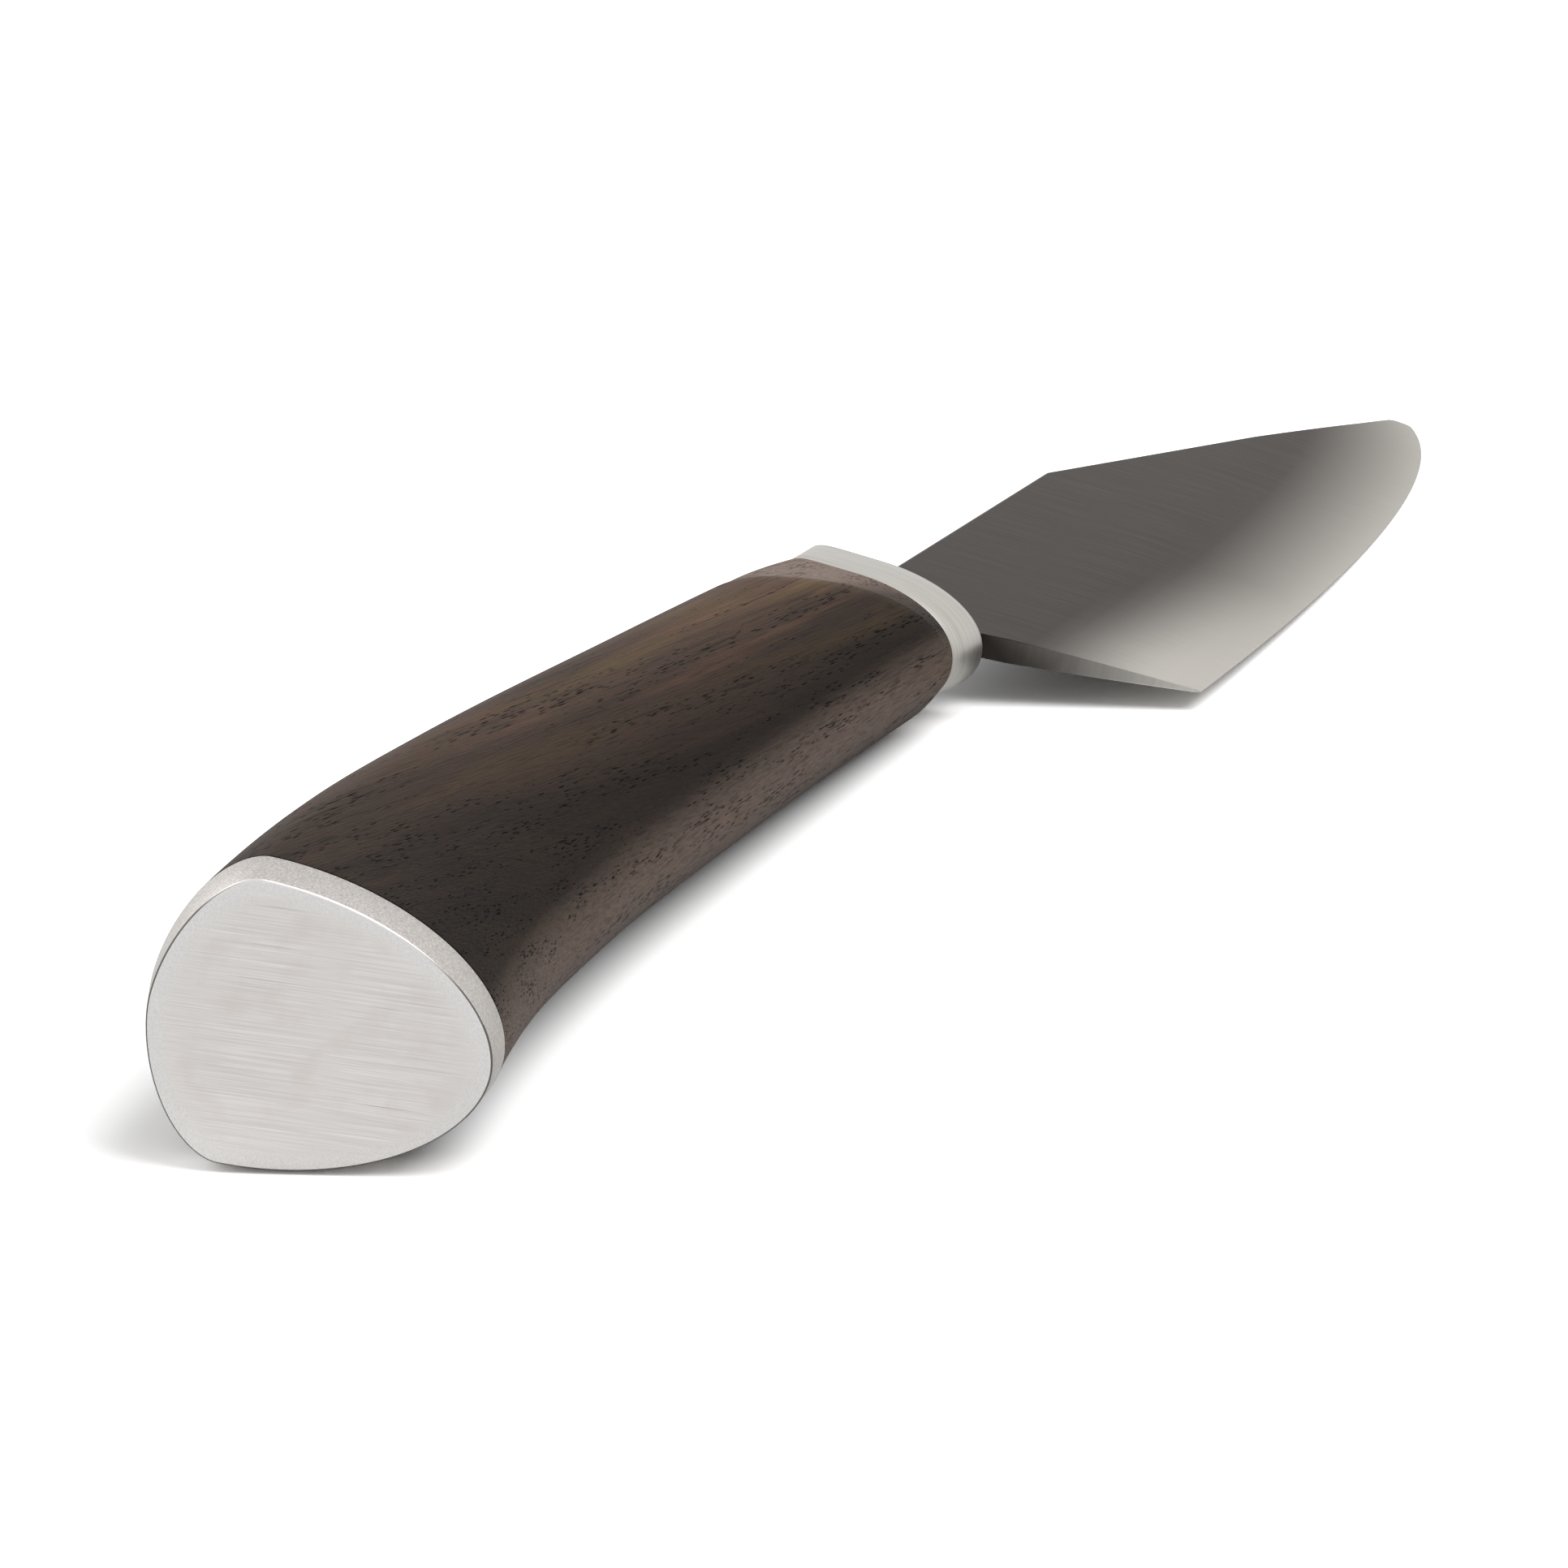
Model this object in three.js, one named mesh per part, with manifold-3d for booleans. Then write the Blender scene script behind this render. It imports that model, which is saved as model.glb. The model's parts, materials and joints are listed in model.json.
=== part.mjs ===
// A small kitchen peeling knife, lying on its side on a table.
//
// The blade and its stick tang are one piece of steel. A steel bolster and a block of dark wood
// are threaded over the tang and drawn tight by a nut, which sits in a counterbore at the pommel
// end of the wood. A steel end cap covers the nut, located by two dowels in a bed of resin.
//
// Millimetres. In the knife's own axes +X runs from the end cap to the tip, +Y from the edge to
// the spine and +Z out of the upper cheek. X = 0 is the middle of the end cap's outer face, and
// the handle's axis is the X axis. The finished knife is turned so that it lies on the plane Z = 0.

import * as THREE from 'three';
import { ConvexHull } from 'three/addons/math/ConvexHull.js';
import { mergeVertices } from 'three/addons/utils/BufferGeometryUtils.js';
import Module from 'manifold-3d';

const wasm = await Module();
wasm.setup();

// Blade
const bladeLength = 92.3;         // heel to tip, along the edge's line
const bladeHeight = 28.6;         // spine to edge, at the heel
const bladeThickness = 2;         // between the flat cheeks
const edgeThickness = 0.2;        // left at the honed edge
const grindHeight = 15;           // ground band above the edge, on both cheeks
const grindBulge = 0.25;          // swell of the grind past a flat wedge, where 0 is flat
const cheekShare = 0.1;           // least share of the height that stays flat, near the tip
const spineHeight = 8;            // spine above the handle's axis
const spineLength = 42.7;         // level spine, from above the heel to its kink
const noseRise = 10.7;            // centre of the rounded nose above the edge at the heel
const noseRadius = 1.4;
const edgeSweep = 31;             // degrees, rise of the edge where it runs into the nose
const neckLength = 6.9;           // bolster to heel, at the edge
const neckHeight = 10.5;          // spine to the underside of the neck
const heelLean = 15.8;            // degrees, lean of the heel from the neck forward to the edge
const choilRadius = 1.2;          // fillet between the neck and the heel

// Tang, a plate a little thinner than the blade that ends in a round thread
const tangThickness = 1.7;
const tangHeight = 8;             // inside the bolster
const tangRearHeight = 5;         // where the thread begins
const tangRise = 2.5;             // middle of the tang above the handle's axis
const threadDiameter = 4;
const threadLength = 15;
const threadOverlap = 3;          // length of thread rooted in the tang's plate

// Bolster
const bolsterLength = 5.2;
const bolsterThickness = 10.4;
const bolsterBack = 11.5;         // back above the handle's axis
const bolsterBelly = 3.7;         // belly below the handle's axis, at the wood
const bolsterFlare = 0.8;         // the belly's drop towards the blade
const bolsterChamfer = 0.6;       // broken edge round the front face

// Grip, given as its back and belly lines in side view and its thickness in plan
const gripLength = 105;           // end cap to bolster, along the axis
const rearShare = 0.15;           // places along the grip, as shares of its length
const waistShare = 0.33;
const palmShare = 0.63;
const rearBack = 14.8;            // back line above the axis
const waistBack = 15.2;
const palmBack = 14.2;
const shoulderBack = 13.2;
const rearBelly = 7.2;            // belly line below the axis
const waistBelly = 5.2;
const palmBelly = 4;
const shoulderBelly = 3.7;
const waistThickness = 18.1;
const palmThickness = 16.35;
const shoulderThickness = 15.1;
const shoulderLength = 20;        // ramp from the shoulder to the bolster, along the back
const shoulderBellyLength = 1.5;  // the same ramp along the belly

// Section of the handle, two half superellipses that meet at its widest line
const pommelCrown = 6.1;          // back to widest line, at the end cap
const shoulderCrown = 8.1;        // the same at the shoulder, along its lean
const bolsterCrown = 6.1;         // the same at the bolster
const pommelCrownFullness = 1.75; // exponents of the half towards the back
const shoulderCrownFullness = 2.3;
const bolsterCrownFullness = 8;   // nearly square, so that the ramps end in flat cheeks
const pommelBellyFullness = 1.9;  // exponents of the half towards the belly
const bolsterBellyFullness = 2.1; // at the shoulder and at the bolster

// End cap
const capThickness = 3.3;
const capTilt = 16.5;             // degrees, lean of the end cap's face towards the back
const capBack = 11.7;             // back and belly from the middle of the face
const capBelly = 10.95;
const capWidth = 19.9;
const capFlare = 0.4;             // growth of the outline from the outer face to the wood
const capBevel = 0.3;             // broken edge round the outer face

// Nut, washer and dowels under the end cap
const nutWidth = 7;               // across the flats
const nutThickness = 3.2;
const washerDiameter = 8.6;
const washerThickness = 0.8;
const counterboreDiameter = 9.4;
const counterboreDepth = 12.5;    // below the end of the wood, on the tang's line
const dowelDiameter = 2.5;
const dowelLength = 7.5;
const dowelDepthInCap = 1.9;
const backDowelOffset = 8.9;      // dowels from the middle of the end cap
const bellyDowelOffset = 7.5;

// Clearance between a piece and its seat, filled with resin
const fitGap = 0.3;

// Grams per cubic millimetre
const steelDensity = 0.0078;
const woodDensity = 0.00082;

// Fineness of the facets
const ringPoints = 48;
const gripSteps = 22;
const shoulderSteps = 8;
const bladeSteps = 12;
const grindSteps = 4;
const noseSteps = 5;
const noseTurn = 80;              // degrees round the nose, up to the last section of the tip
const roundSides = 24;
const weldTolerance = 1e-4;
const overshoot = 2;              // how far a cutter runs past the face that it opens

// Places along the handle
const tilt = THREE.MathUtils.degToRad(capTilt);
const capInward = new THREE.Vector2(Math.cos(tilt), Math.sin(tilt));
const capUpward = new THREE.Vector2(-Math.sin(tilt), Math.cos(tilt));
const gripRear = (capThickness + fitGap) * capInward.x;
const gripFront = gripRear + gripLength;
const bolsterRear = gripFront + fitGap;
const bolsterFront = bolsterRear + bolsterLength;
const neckRear = bolsterFront + fitGap;
const heel = bolsterFront + neckLength;
const edgeLevel = spineHeight - bladeHeight;
const counterboreFloor = gripRear + counterboreDepth;
const threadRear = counterboreFloor - fitGap - washerThickness - fitGap - nutThickness - fitGap;
const tangRear = threadRear + threadLength - threadOverlap;

// A closed solid through rings of equal count, each counter-clockwise as seen from +X.
function loft(rings) {
  const count = rings[0].length;
  const points = rings.flat();
  const index = [];
  for (let ring = 0; ring + 1 < rings.length; ring += 1) {
    for (let i = 0; i < count; i += 1) {
      const a = ring * count + i;
      const b = ring * count + (i + 1) % count;
      index.push(a, b, b + count, a, b + count, a + count);
    }
  }
  const last = (rings.length - 1) * count;
  const rearMiddle = points.push(middleOf(rings[0])) - 1;
  const frontMiddle = points.push(middleOf(rings[rings.length - 1])) - 1;
  for (let i = 0; i < count; i += 1) {
    const next = (i + 1) % count;
    index.push(rearMiddle, next, i);
    index.push(frontMiddle, last + i, last + next);
  }
  return new THREE.BufferGeometry().setFromPoints(points).setIndex(index);
}

function middleOf(ring) {
  const middle = new THREE.Vector3();
  ring.forEach((point) => middle.add(point));
  return middle.divideScalar(ring.length);
}

// Booleans
function solidOf(geometry) {
  const bare = geometry.clone();
  bare.deleteAttribute('normal');
  bare.deleteAttribute('uv');
  const merged = mergeVertices(bare, weldTolerance);
  const vertProperties = new Float32Array(merged.attributes.position.array);
  const triVerts = new Uint32Array(merged.index.array);
  return new wasm.Manifold(new wasm.Mesh({ numProp: 3, vertProperties, triVerts }));
}

function geometryOf(solid) {
  const mesh = solid.getMesh();
  const geometry = new THREE.BufferGeometry();
  geometry.setAttribute('position', new THREE.BufferAttribute(mesh.vertProperties, 3));
  geometry.setIndex(new THREE.BufferAttribute(mesh.triVerts, 1));
  return geometry;
}

function cut(body, cutters) {
  return geometryOf(cutters.reduce((rest, cutter) => rest.subtract(solidOf(cutter)), solidOf(body)));
}

function join(pieces) {
  return geometryOf(pieces.map(solidOf).reduce((whole, piece) => whole.add(piece)));
}

// A round bar along X, between two places, on the tang's line.
function barAlongTang(diameter, from, to, sides = roundSides) {
  const bar = new THREE.CylinderGeometry(diameter / 2, diameter / 2, to - from, sides);
  return bar.rotateZ(Math.PI / 2).translate((from + to) / 2, tangRise, 0);
}

// A plate in the plane of the blade, from its outline in X and Y.
function plate(outline, thickness) {
  const sheet = new THREE.ExtrudeGeometry(outline, { depth: thickness, bevelEnabled: false });
  return sheet.translate(0, 0, -thickness / 2);
}

// Smooth line through points with rising x: a cubic whose slopes are weighted from both sides.
function heightOnLine(points, x) {
  const rise = (i) => (points[i + 1].y - points[i].y) / (points[i + 1].x - points[i].x);
  const slope = (i) => {
    const before = points[i].x - points[i - 1].x;
    const after = points[i + 1].x - points[i].x;
    return (rise(i - 1) * after + rise(i) * before) / (before + after);
  };
  const final = points.length - 1;
  let start = 0;
  while (start < final - 1 && x > points[start + 1].x) {
    start += 1;
  }
  const chord = rise(start);
  const slopeIn = start > 0 ? slope(start) : 2 * chord - slope(start + 1);
  const slopeOut = start + 1 < final ? slope(start + 1) : 2 * chord - slope(start);
  const span = points[start + 1].x - points[start].x;
  const s = (x - points[start].x) / span;
  const bend = (1 - s) * (slopeIn - chord) - s * (slopeOut - chord);
  return points[start].y + s * span * (chord + (1 - s) * bend);
}

// One section of the handle, from its back point to its belly point.
function handleRing(back, belly, thickness, crown, crownFullness, bellyFullness) {
  const upward = back.clone().sub(belly).normalize();
  const widest = back.distanceTo(belly) - crown;
  const power = (value, exponent) => Math.sign(value) * Math.abs(value) ** (2 / exponent);
  const ring = [];
  for (let i = 0; i < ringPoints; i += 1) {
    const angle = (2 * Math.PI * i) / ringPoints;
    const towardsBack = Math.cos(angle) >= 0;
    const fullness = towardsBack ? crownFullness : bellyFullness;
    const rise = power(Math.cos(angle), fullness) * (towardsBack ? crown : widest);
    const swell = power(Math.sin(angle), fullness) * (thickness / 2);
    const place = belly.clone().addScaledVector(upward, widest + rise);
    ring.push(new THREE.Vector3(place.x, place.y, swell));
  }
  return ring;
}

// A section of the end cap's own outline, grown outwards, at a depth below its outer face.
function capRing(depth, growth) {
  const middle = capInward.clone().multiplyScalar(depth);
  const back = middle.clone().addScaledVector(capUpward, capBack + growth);
  const belly = middle.clone().addScaledVector(capUpward, -capBelly - growth);
  const width = capWidth + 2 * growth;
  const crown = pommelCrown + growth / 2;
  return handleRing(back, belly, width, crown, pommelCrownFullness, pommelBellyFullness);
}

// The dowels' own places, or their holes when a clearance is given.
function dowel(offset, clearance = 0) {
  const length = dowelLength + 2 * clearance;
  const depth = capThickness - dowelDepthInCap + dowelLength / 2;
  const middle = capUpward.clone().multiplyScalar(offset).addScaledVector(capInward, depth);
  const bar = new THREE.CylinderGeometry(1, 1, length, roundSides);
  bar.scale(dowelDiameter / 2 + clearance, 1, dowelDiameter / 2 + clearance);
  return bar.rotateZ(tilt - Math.PI / 2).translate(middle.x, middle.y, 0);
}

function dowelHoles() {
  return [dowel(backDowelOffset, fitGap), dowel(-bellyDowelOffset, fitGap)];
}

// The tang's plate, or its slot when a clearance is given.
function tangPlate(front, clearance = 0) {
  const outline = new THREE.Shape();
  const half = tangHeight / 2 + clearance;
  const rearHalf = tangRearHeight / 2 + clearance;
  const rear = tangRear - clearance;
  outline.moveTo(rear, tangRise - rearHalf);
  outline.lineTo(gripFront, tangRise - half);
  outline.lineTo(front, tangRise - half);
  outline.lineTo(front, tangRise + half);
  outline.lineTo(gripFront, tangRise + half);
  outline.lineTo(rear, tangRise + rearHalf);
  return plate(outline, tangThickness + 2 * clearance);
}

// Blade outline: a level spine, a straight drop from the kink, a round nose and a swept edge.
const kink = new THREE.Vector2(heel + spineLength, spineHeight);
const nose = new THREE.Vector2(heel + bladeLength - noseRadius, edgeLevel + noseRise);
const toNose = nose.clone().sub(kink);
const dropAngle = toNose.angle() + Math.asin(noseRadius / toNose.length());
const dropEnd = nose.x - noseRadius * Math.sin(dropAngle);
const sweep = THREE.MathUtils.degToRad(edgeSweep);
const edgeStart = new THREE.Vector2(heel, edgeLevel);
const edgeEnd = new THREE.Vector2(Math.sin(sweep), -Math.cos(sweep)).multiplyScalar(noseRadius).add(nose);
const edgeBend = new THREE.Vector2(edgeEnd.x - (edgeEnd.y - edgeLevel) / Math.tan(sweep), edgeLevel);
const edgeCurve = new THREE.QuadraticBezierCurve(edgeStart, edgeBend, edgeEnd);

function noseHalfHeight(x) {
  return Math.sqrt(Math.max(0, noseRadius ** 2 - (x - nose.x) ** 2));
}

function spineAt(x) {
  if (x <= kink.x) {
    return spineHeight;
  }
  if (x <= dropEnd) {
    return spineHeight + (x - kink.x) * Math.tan(dropAngle);
  }
  return nose.y + noseHalfHeight(x);
}

function edgeAt(x) {
  if (x <= edgeStart.x) {
    return edgeLevel;
  }
  if (x >= edgeEnd.x) {
    return nose.y - noseHalfHeight(x);
  }
  const a = edgeStart.x - 2 * edgeBend.x + edgeEnd.x;
  const b = 2 * (edgeBend.x - edgeStart.x);
  const t = (2 * (x - edgeStart.x)) / (b + Math.sqrt(b * b + 4 * a * (x - edgeStart.x)));
  return edgeCurve.getPoint(t).y;
}

// A section of the blade: flat cheeks above a slightly swollen grind that runs to the edge.
function bladeRing(x) {
  const height = spineAt(x) - edgeAt(x);
  const grind = Math.min(grindHeight, (1 - cheekShare) * height);
  const levels = [height];
  for (let i = grindSteps; i >= 0; i -= 1) {
    levels.push((grind * i) / grindSteps);
  }
  const halfThickness = (level) => {
    const share = Math.min(1, level / grindHeight);
    const swollen = share * (1 + grindBulge * (1 - share));
    return (edgeThickness + (bladeThickness - edgeThickness) * swollen) / 2;
  };
  const side = (sign) => levels.map(
    (level) => new THREE.Vector3(x, edgeAt(x) + level, sign * halfThickness(level)),
  );
  return [...side(1), ...side(-1).reverse()];
}

function bladeBody() {
  const stations = [neckRear];
  for (let i = 0; i < bladeSteps; i += 1) {
    stations.push(THREE.MathUtils.lerp(heel, kink.x, i / bladeSteps));
  }
  for (let i = 0; i < bladeSteps; i += 1) {
    stations.push(THREE.MathUtils.lerp(kink.x, nose.x, i / bladeSteps));
  }
  for (let i = 0; i <= noseSteps; i += 1) {
    const turn = THREE.MathUtils.degToRad(noseTurn * (i / noseSteps));
    stations.push(nose.x + noseRadius * Math.sin(turn));
  }
  return loft(stations.map(bladeRing));
}

// The space under the neck and behind the leaning heel, with the fillet between them.
function heelCutter() {
  const underside = spineHeight - neckHeight;
  const lean = THREE.MathUtils.degToRad(heelLean);
  const onHeel = (y) => heel - (y - edgeLevel) * Math.tan(lean);
  const filletReach = choilRadius / Math.tan(Math.PI / 4 + lean / 2);
  const rear = bolsterFront - overshoot;
  const bottom = edgeLevel - overshoot;
  const filletX = onHeel(underside) - filletReach;
  const filletY = underside - choilRadius;
  const outline = new THREE.Shape();
  outline.moveTo(rear, underside);
  outline.absarc(filletX, filletY, choilRadius, Math.PI / 2, lean, true);
  outline.lineTo(onHeel(bottom), bottom);
  outline.lineTo(rear, bottom);
  return plate(outline, bladeThickness + 2 * overshoot);
}

function makeBlade() {
  const thread = barAlongTang(threadDiameter, threadRear, threadRear + threadLength);
  return join([cut(bladeBody(), [heelCutter()]), tangPlate(neckRear + overshoot), thread]);
}

function makeBolster() {
  const ring = (x, flare, inset) => handleRing(
    new THREE.Vector2(x, bolsterBack - inset),
    new THREE.Vector2(x, -bolsterBelly - flare + inset),
    bolsterThickness - 2 * inset,
    bolsterCrown - inset / 2,
    bolsterCrownFullness,
    bolsterBellyFullness,
  );
  const body = loft([
    ring(bolsterRear, 0, 0),
    ring(bolsterFront - bolsterChamfer, bolsterFlare, 0),
    ring(bolsterFront, bolsterFlare, bolsterChamfer),
  ]);
  return cut(body, [tangPlate(bolsterFront + overshoot, fitGap)]);
}

// The wood's sections lean with the end cap at the rear, and its shoulder leans further: it starts
// earlier along the back than along the belly. From there a flat ramp on each cheek runs down to
// the bolster.
function makeGrip() {
  const { lerp } = THREE.MathUtils;
  const along = (share) => lerp(gripRear, gripFront, share);
  const rearMiddle = capInward.clone().multiplyScalar(capThickness + fitGap);
  const rearBackPoint = rearMiddle.clone().addScaledVector(capUpward, capBack + capFlare);
  const rearBellyPoint = rearMiddle.clone().addScaledVector(capUpward, -capBelly - capFlare);
  const shoulderBackPoint = new THREE.Vector2(gripFront - shoulderLength, shoulderBack);
  const shoulderBellyPoint = new THREE.Vector2(gripFront - shoulderBellyLength, -shoulderBelly);
  const backLine = [
    rearBackPoint,
    new THREE.Vector2(along(rearShare), rearBack),
    new THREE.Vector2(along(waistShare), waistBack),
    new THREE.Vector2(along(palmShare), palmBack),
    shoulderBackPoint,
    new THREE.Vector2(gripFront, bolsterBack),
  ];
  const bellyLine = [
    rearBellyPoint,
    new THREE.Vector2(along(rearShare), -rearBelly),
    new THREE.Vector2(along(waistShare), -waistBelly),
    new THREE.Vector2(along(palmShare), -palmBelly),
    shoulderBellyPoint,
    new THREE.Vector2(gripFront, -bolsterBelly),
  ];
  const thicknessLine = [
    new THREE.Vector2(0, capWidth + 2 * capFlare),
    new THREE.Vector2(waistShare, waistThickness),
    new THREE.Vector2(palmShare, palmThickness),
    new THREE.Vector2(1, shoulderThickness),
  ];
  const rearCrown = pommelCrown + capFlare / 2;
  const ring = (backX, bellyX, thickness, crown, crownFullness, bellyFullness) => handleRing(
    new THREE.Vector2(backX, heightOnLine(backLine, backX)),
    new THREE.Vector2(bellyX, heightOnLine(bellyLine, bellyX)),
    thickness,
    crown,
    crownFullness,
    bellyFullness,
  );
  const rings = [];
  for (let i = 0; i <= gripSteps; i += 1) {
    const share = i / gripSteps;
    const backX = lerp(rearBackPoint.x, shoulderBackPoint.x, share);
    const bellyX = lerp(rearBellyPoint.x, shoulderBellyPoint.x, share);
    const thickness = heightOnLine(thicknessLine, share);
    const crown = lerp(rearCrown, shoulderCrown, share);
    const crownFullness = lerp(pommelCrownFullness, shoulderCrownFullness, share);
    const bellyFullness = lerp(pommelBellyFullness, bolsterBellyFullness, share);
    rings.push(ring(backX, bellyX, thickness, crown, crownFullness, bellyFullness));
  }
  for (let i = 1; i <= shoulderSteps; i += 1) {
    const share = i / shoulderSteps;
    const backX = lerp(shoulderBackPoint.x, gripFront, share);
    const bellyX = lerp(shoulderBellyPoint.x, gripFront, share);
    const thickness = lerp(shoulderThickness, bolsterThickness, share);
    const crown = lerp(shoulderCrown, bolsterCrown, share);
    const crownFullness = lerp(shoulderCrownFullness, bolsterCrownFullness, share);
    rings.push(ring(backX, bellyX, thickness, crown, crownFullness, bolsterBellyFullness));
  }
  const openRear = Math.min(rearBackPoint.x, rearBellyPoint.x) - overshoot;
  const threadFront = threadRear + threadLength + fitGap;
  return cut(loft(rings), [
    tangPlate(gripFront + overshoot, fitGap),
    barAlongTang(threadDiameter + 2 * fitGap, counterboreFloor - overshoot, threadFront),
    barAlongTang(counterboreDiameter, openRear, counterboreFloor),
    ...dowelHoles(),
  ]);
}

function makeEndCap() {
  const body = loft([
    capRing(0, -capBevel),
    capRing(capBevel, 0),
    capRing(capThickness, capFlare),
  ]);
  return cut(body, dowelHoles());
}

function makeWasher() {
  const front = counterboreFloor - fitGap;
  const rear = front - washerThickness;
  const disc = barAlongTang(washerDiameter, rear, front);
  return cut(disc, [barAlongTang(threadDiameter + 2 * fitGap, rear - overshoot, front + overshoot)]);
}

function makeNut() {
  const front = counterboreFloor - 2 * fitGap - washerThickness;
  const rear = front - nutThickness;
  const acrossCorners = nutWidth / Math.cos(Math.PI / 6);
  const hexagon = barAlongTang(acrossCorners, rear, front, 6);
  return cut(hexagon, [barAlongTang(threadDiameter + 2 * fitGap, rear - overshoot, front + overshoot)]);
}

// Materials
const brushedSteel = new THREE.MeshStandardMaterial({ color: 0xd4d0cd, roughness: 0.35, metalness: 1 });
const satinSteel = new THREE.MeshStandardMaterial({ color: 0xbbb8b3, roughness: 0.4, metalness: 1 });
const bladeSteel = new THREE.MeshStandardMaterial({ color: 0x8f8b89, roughness: 0.38, metalness: 1 });
const darkWood = new THREE.MeshStandardMaterial({ color: 0x40352f, roughness: 0.55, metalness: 0 });
const zincSteel = new THREE.MeshStandardMaterial({ color: 0xa3a5a6, roughness: 0.45, metalness: 1 });

// Turns the knife onto the face of its convex hull that lies under its centre of mass, which is
// how it comes to rest, and sets the middle of its footprint at the origin.
function layOnTable(knife) {
  const points = [];
  const centre = new THREE.Vector3();
  let mass = 0;
  for (const mesh of knife.children) {
    const position = mesh.geometry.attributes.position;
    const corners = mesh.geometry.index.array;
    const corner = (i) => new THREE.Vector3().fromBufferAttribute(position, corners[i]);
    const density = mesh.material === darkWood ? woodDensity : steelDensity;
    for (let i = 0; i < corners.length; i += 3) {
      const [a, b, c] = [corner(i), corner(i + 1), corner(i + 2)];
      const wedge = (density * a.dot(b.clone().cross(c))) / 6;
      centre.addScaledVector(a.clone().add(b).add(c), wedge / 4);
      mass += wedge;
      points.push(a, b, c);
    }
  }
  centre.divideScalar(mass);
  const down = new THREE.Vector3(0, 0, -1);
  let nearest = Infinity;
  let footing = null;
  for (const face of new ConvexHull().setFromPoints(points).faces) {
    const closing = face.normal.dot(down);
    const distance = -face.distanceToPoint(centre) / closing;
    if (closing > 0 && distance < nearest) {
      nearest = distance;
      footing = face.normal;
    }
  }
  knife.quaternion.setFromUnitVectors(footing, down);
  const box = new THREE.Box3().setFromObject(knife, true);
  knife.position.set(-(box.min.x + box.max.x) / 2, -(box.min.y + box.max.y) / 2, -box.min.z);
}

const pieces = [
  ['blade', makeBlade(), bladeSteel],
  ['bolster', makeBolster(), satinSteel],
  ['grip', makeGrip(), darkWood],
  ['end_cap', makeEndCap(), brushedSteel],
  ['tang_nut', makeNut(), zincSteel],
  ['nut_washer', makeWasher(), zincSteel],
  ['cap_dowel_back', dowel(backDowelOffset), satinSteel],
  ['cap_dowel_belly', dowel(-bellyDowelOffset), satinSteel],
];

const knife = new THREE.Group();
for (const [name, geometry, material] of pieces) {
  geometry.computeVertexNormals();
  const mesh = new THREE.Mesh(geometry, material);
  mesh.name = name;
  knife.add(mesh);
}
layOnTable(knife);

const peelingKnife = new THREE.Group();
peelingKnife.add(knife);

export default peelingKnife;
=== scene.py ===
import json
import math

import bmesh
import bpy
from mathutils import Euler, Matrix, Vector


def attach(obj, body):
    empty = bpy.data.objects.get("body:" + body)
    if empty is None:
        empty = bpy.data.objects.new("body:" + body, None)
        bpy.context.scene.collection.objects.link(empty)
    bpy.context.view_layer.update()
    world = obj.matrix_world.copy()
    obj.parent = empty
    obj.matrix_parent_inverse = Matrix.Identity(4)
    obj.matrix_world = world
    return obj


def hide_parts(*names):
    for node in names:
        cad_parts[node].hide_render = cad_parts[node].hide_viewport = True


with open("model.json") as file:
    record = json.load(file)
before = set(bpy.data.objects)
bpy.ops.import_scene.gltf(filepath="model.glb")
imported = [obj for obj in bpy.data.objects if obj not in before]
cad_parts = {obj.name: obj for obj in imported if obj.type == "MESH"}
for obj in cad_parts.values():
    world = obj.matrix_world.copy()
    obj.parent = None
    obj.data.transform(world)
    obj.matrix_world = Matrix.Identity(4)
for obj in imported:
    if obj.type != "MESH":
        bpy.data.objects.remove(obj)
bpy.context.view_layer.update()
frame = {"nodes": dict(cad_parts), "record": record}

# The knife's own axes
# The knife lies on its side on a table. It is modelled in millimetres, along its own axes: X from
# the end cap to the tip, Y from the edge to the spine and Z out of the upper cheek, with the middle
# of the end cap's outer face at zero. Two flat faces in the record give those axes on the table.

millimetre = 0.001
cap_tilt = math.radians(16.5)      # lean of the end cap: its back lies farther out than its belly

mounts = {mount["name"]: mount for mount in frame["record"]["mounts"]}
cap_inward = -Vector(mounts["end_cap_face"]["axis"]).normalized()
out_of_cheek = Vector(mounts["upper_cheek"]["axis"]).normalized()
cap_upward = out_of_cheek.cross(cap_inward)
towards_tip = math.cos(cap_tilt) * cap_inward - math.sin(cap_tilt) * cap_upward
towards_spine = out_of_cheek.cross(towards_tip)
turn = Matrix((towards_tip, towards_spine, out_of_cheek)).transposed().to_quaternion()
knife = Matrix.LocRotScale(mounts["end_cap_face"]["pos_m"], turn, Vector.Fill(3, millimetre))


# Blade
# One piece of stainless steel, ground thin towards a convex edge. The neck behind its heel butts
# against the bolster, and a stick tang with a threaded end runs on through the grip. Its cheeks
# are painted dark, and lighter towards the edge: a painted reflection of dark studio and white table.

blade_length = 92.3                # heel to tip, along the edge's line
blade_height = 28.6                # spine to edge, at the heel
blade_thickness = 2
edge_thickness = 0.2               # behind the honed edge
hone_height = 0.5                  # honed bevel along the edge
hone_thickness = 0.06              # left at the very edge
grind_height = 15                  # ground band above the edge
grind_bulge = 0.25                 # swell of the grind past a flat wedge
cheek_share = 0.1                  # least share of the height that stays flat, near the tip
spine_height = 8                   # spine above the handle's axis
spine_length = 42.7                # level spine, from above the heel to its kink
spine_ease = 0.3                   # rounding of the spine's two edges
ease_corner = 0.3                  # how near a rounding comes to its corner, as a share of its size
nose_rise = 10.7                   # centre of the rounded nose above the edge at the heel
nose_radius = 1.4
nose_turn = math.radians(86)       # how far the last section lies round the nose
edge_sweep = math.radians(31)      # rise of the edge where it runs into the nose
neck_length = 6.9                  # bolster to heel, at the edge
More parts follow.
